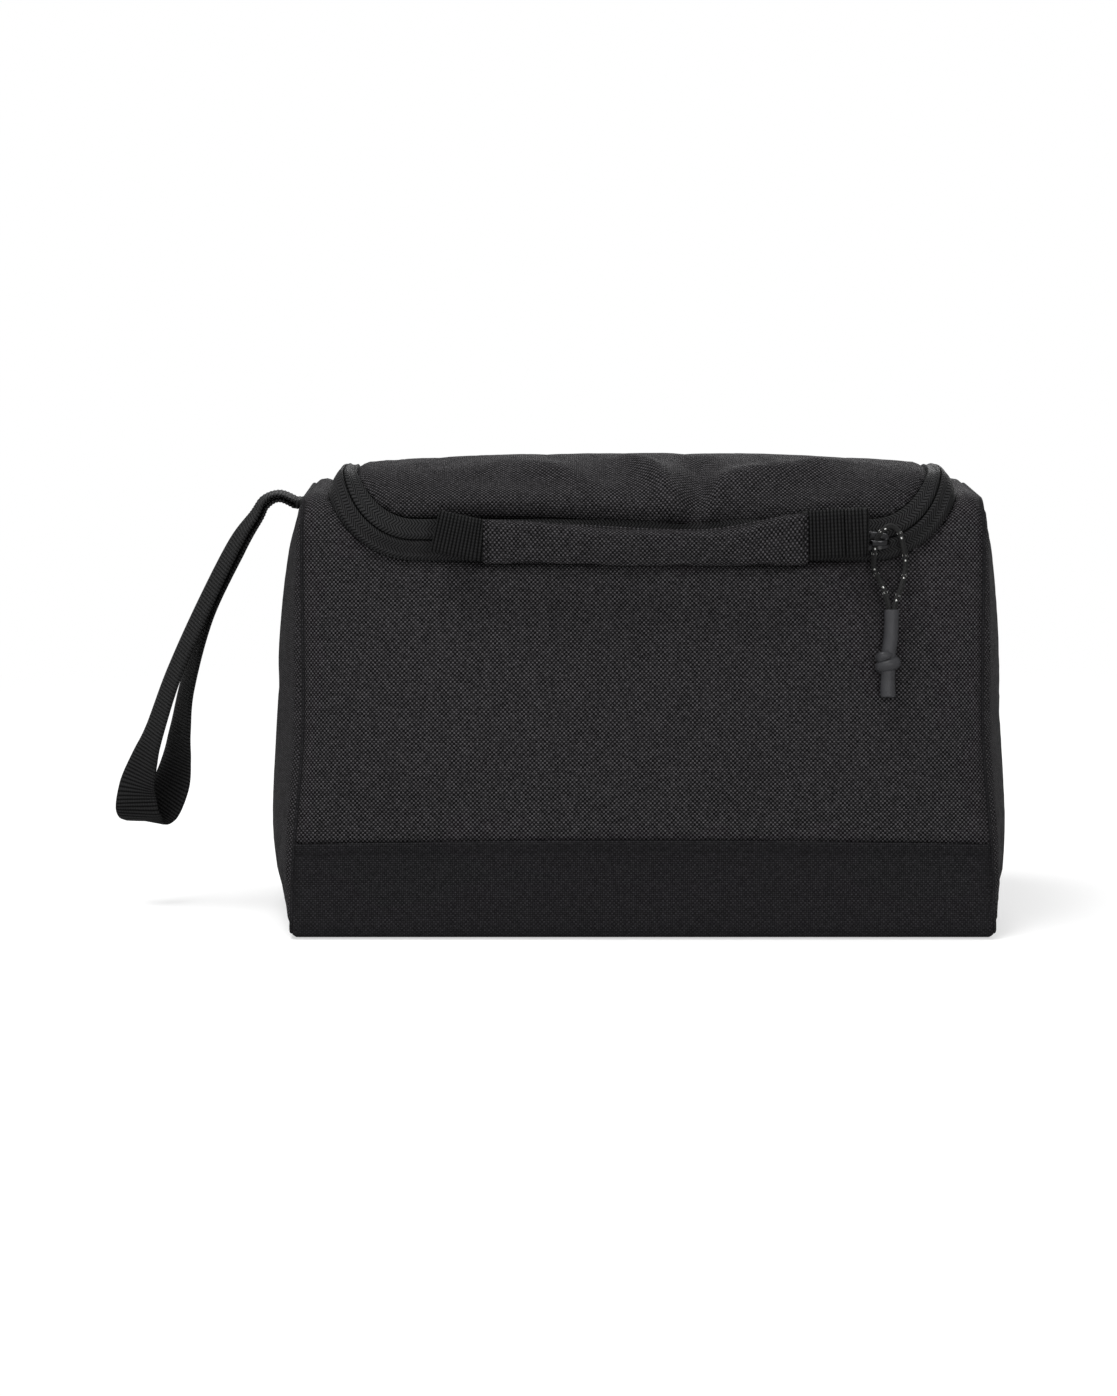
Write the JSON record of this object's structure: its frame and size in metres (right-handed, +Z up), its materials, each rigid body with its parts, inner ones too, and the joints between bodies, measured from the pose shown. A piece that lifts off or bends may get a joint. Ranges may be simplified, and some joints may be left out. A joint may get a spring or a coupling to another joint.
{
  "type": "hanging toiletry bag",
  "caption": "Soft padded wash bag with a U-shaped zip lid, a grab handle across the front and a webbing hanging loop at one end.",
  "frame": {"origin": "middle of the bag's flat base, where it rests", "axes": "+X to the bag's right seen from the front, +Y from the front to the back, +Z up"},
  "size_m": [0.3464, 0.1281, 0.1782],
  "materials": {
    "outer_fabric": "black-grey plain oxford weave",
    "base_fabric": "darker plain oxford weave",
    "foam": "open cell foam",
    "board": "matt sheet",
    "lining": "thin plain woven lining",
    "webbing": "ribbed webbing",
    "mesh": "knitted mesh",
    "zip_tape": "herringbone tape",
    "zip_coil": "moulded coil",
    "slider": "dark painted die casting",
    "cord": "braid with light flecks",
    "sleeve": "matt rubbery tube"
  },
  "bodies": {
    "body": {"front_panel": "outer_fabric", "base_panel": "base_fabric", "back_panel": "outer_fabric", "left_side_panel": "outer_fabric", "right_side_panel": "outer_fabric", "front_padding": "foam", "back_padding": "foam", "left_padding": "foam", "right_padding": "foam", "base_board": "board", "main_lining": "lining", "left_lining": "lining", "right_lining": "lining", "left_seam_binding": "webbing", "right_seam_binding": "webbing", "mesh_pocket": "mesh", "pocket_binding": "webbing", "zip_tape_body": "zip_tape", "zip_coil_body": "zip_coil"},
    "lid": {"lid_panel": "outer_fabric", "lid_padding": "foam", "lid_lining": "lining", "zip_tape_lid": "zip_tape", "zip_coil_lid": "zip_coil"},
    "handle": {"handle_strap": "webbing", "handle_grip": "outer_fabric", "handle_padding": "foam"},
    "slider": {"zip_slider": "slider"},
    "pull": {"pull_cord": "cord", "pull_sleeve": "sleeve"},
    "loop": {"hang_loop": "webbing"}
  },
  "joints": [
    {"name": "lid_hinge", "type": "hinge", "parent": "body", "child": "lid", "pos_m": [0, 0.03989, 0.163], "axis": [-1, 0, 0], "range_deg": [0, 115]},
    {"name": "handle_swing", "type": "hinge", "parent": "lid", "child": "handle", "pos_m": [0, -0.05125, 0.15774], "axis": [-1, 0, 0], "range_deg": [0, 100]},
    {"name": "slider_run", "type": "slide", "parent": "body", "child": "slider", "axis": [1, 0, 0], "range_m": [-0.165, 0]},
    {"name": "pull_swing", "type": "hinge", "parent": "slider", "child": "pull", "pos_m": [0.088, -0.05309, 0.14898], "axis": [0, -1, 0], "range_deg": [-30, 30]},
    {"name": "loop_swing", "type": "hinge", "parent": "body", "child": "loop", "pos_m": [-0.1335, 0, 0.159], "axis": [0, 1, 0], "range_deg": [-15, 95]}
  ]
}
